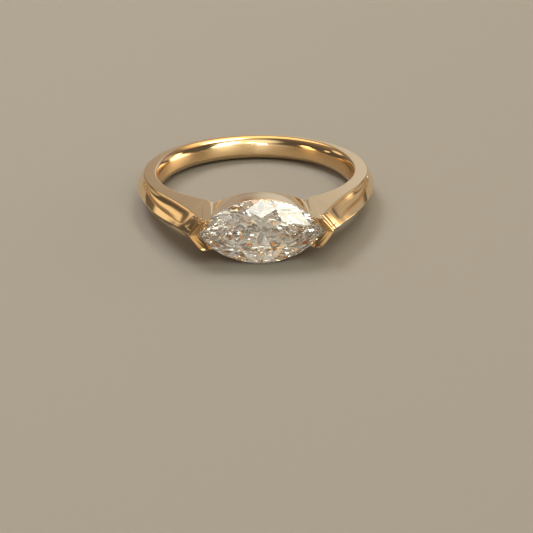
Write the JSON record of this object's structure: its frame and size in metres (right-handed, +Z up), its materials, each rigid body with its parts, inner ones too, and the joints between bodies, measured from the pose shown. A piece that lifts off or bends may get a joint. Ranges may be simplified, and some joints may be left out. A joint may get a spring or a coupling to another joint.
{
  "type": "bezel set ring",
  "caption": "Slim gold band with knife edge channelled shoulders, holding one marquise brilliant lengthwise across the finger between two V tips over an open gallery.",
  "frame": {"origin": "centre of the finger hole, halfway between the band's two flat sides", "axes": "+Z up from the surface that the ring lies on, within 5 degrees of the finger hole's axis; -Y from the finger hole toward the stone; +X along the stone"},
  "size_m": [0.0202, 0.0224, 0.0054],
  "materials": {
    "gold": "18 carat gold, mirror polished outside, finely brushed inside the band",
    "diamond": "colourless diamond, polished facets, fine ground girdle"
  },
  "bodies": {
    "root": {"mounting": "gold", "marquise_stone": "diamond"}
  },
  "joints": []
}
